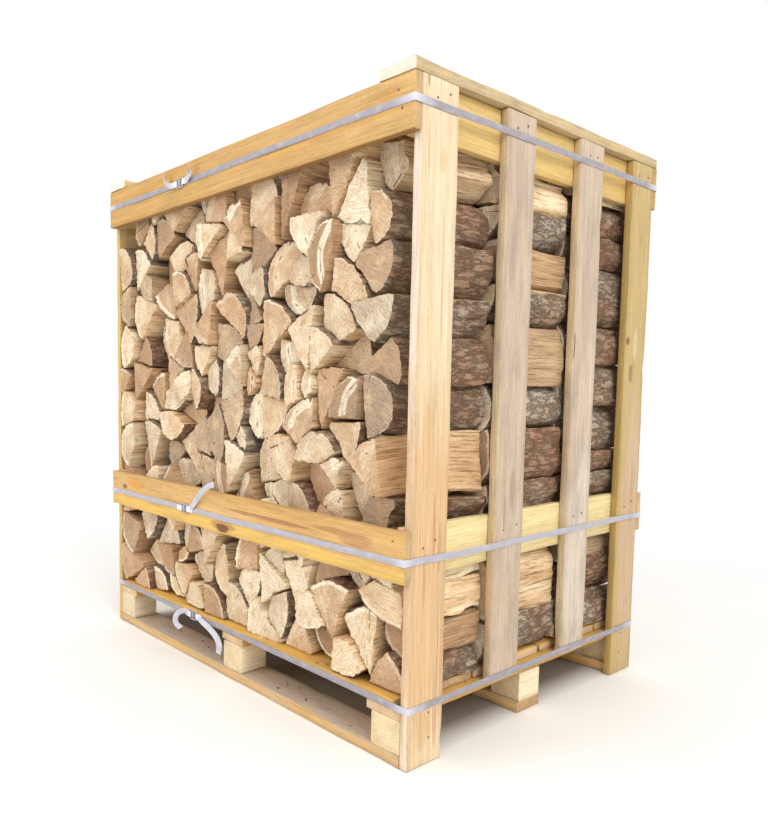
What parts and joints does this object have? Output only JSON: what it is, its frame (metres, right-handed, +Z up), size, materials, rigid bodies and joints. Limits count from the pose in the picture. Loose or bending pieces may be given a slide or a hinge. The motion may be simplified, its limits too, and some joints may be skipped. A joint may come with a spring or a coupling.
{
  "type": "strapped firewood crate on pallet",
  "caption": "Slatted timber crate on a block pallet, filled with rows of stacked split firewood logs and bound with strapping.",
  "frame": {"origin": "on the ground under the middle of the crate, on the underside of the middle runner", "axes": "+Z up; log ends face -Y and +Y, the buckles are on the -Y side; the slatted ends face -X and +X"},
  "size_m": [1.3826, 1.0827, 1.5058],
  "materials": {
    "pallet_timber": "rough-sawn softwood, yellow, darker on the tops of the runners",
    "block_timber": "rough-sawn pale softwood block with end grain on two sides",
    "post_timber": "rough-sawn pale cream softwood",
    "slat_timber": "rough-sawn weathered board, grey-pink beige",
    "rail_timber": "rough-sawn pale yellow softwood",
    "cap_timber": "rough-sawn tan softwood with nearly white end grain",
    "band_timber": "rough-sawn amber softwood, a knot and brown streaks",
    "firewood": "split hardwood: sawn ends, fibrous split faces and rough brown bark",
    "strapping": "woven composite cord strapping, pale grey-lilac, slight sheen",
    "buckle_wire": "galvanised bent wire"
  },
  "bodies": {
    "root": {"runner_front": "pallet_timber", "runner_middle": "pallet_timber", "runner_back": "pallet_timber", "stringer_left": "pallet_timber", "stringer_middle": "pallet_timber", "stringer_right": "pallet_timber", "deck_board_1": "pallet_timber", "deck_board_2": "pallet_timber", "deck_board_3": "pallet_timber", "deck_board_4": "pallet_timber", "deck_board_5": "pallet_timber", "deck_board_6": "pallet_timber", "deck_board_7": "pallet_timber", "block_front_left": "block_timber", "block_front_middle": "block_timber", "block_front_right": "block_timber", "block_middle_left": "block_timber", "block_middle_middle": "block_timber", "block_middle_right": "block_timber", "block_back_left": "block_timber", "block_back_middle": "block_timber", "block_back_right": "block_timber", "post_left_front": "post_timber", "post_left_back": "post_timber", "post_right_front": "post_timber", "post_right_back": "post_timber", "slat_left_1": "slat_timber", "slat_left_2": "slat_timber", "slat_right_1": "slat_timber", "slat_right_2": "slat_timber", "rail_top_left": "rail_timber", "rail_top_right": "rail_timber", "rail_middle_left": "rail_timber", "rail_middle_right": "rail_timber", "cap_left": "cap_timber", "cap_right": "cap_timber", "band_top_front": "band_timber", "band_top_back": "band_timber", "band_middle_front": "band_timber", "band_middle_back": "band_timber", "log_row_front": "firewood", "log_row_middle": "firewood", "log_row_back": "firewood", "strap_top": "strapping", "strap_middle": "strapping", "strap_bottom": "strapping", "strap_tail_top_left": "strapping", "strap_tail_top_right": "strapping", "strap_tail_middle": "strapping", "strap_tail_bottom_left": "strapping", "strap_tail_bottom_right": "strapping", "buckle_top": "buckle_wire", "buckle_middle": "buckle_wire", "buckle_bottom": "buckle_wire"}
  },
  "joints": []
}
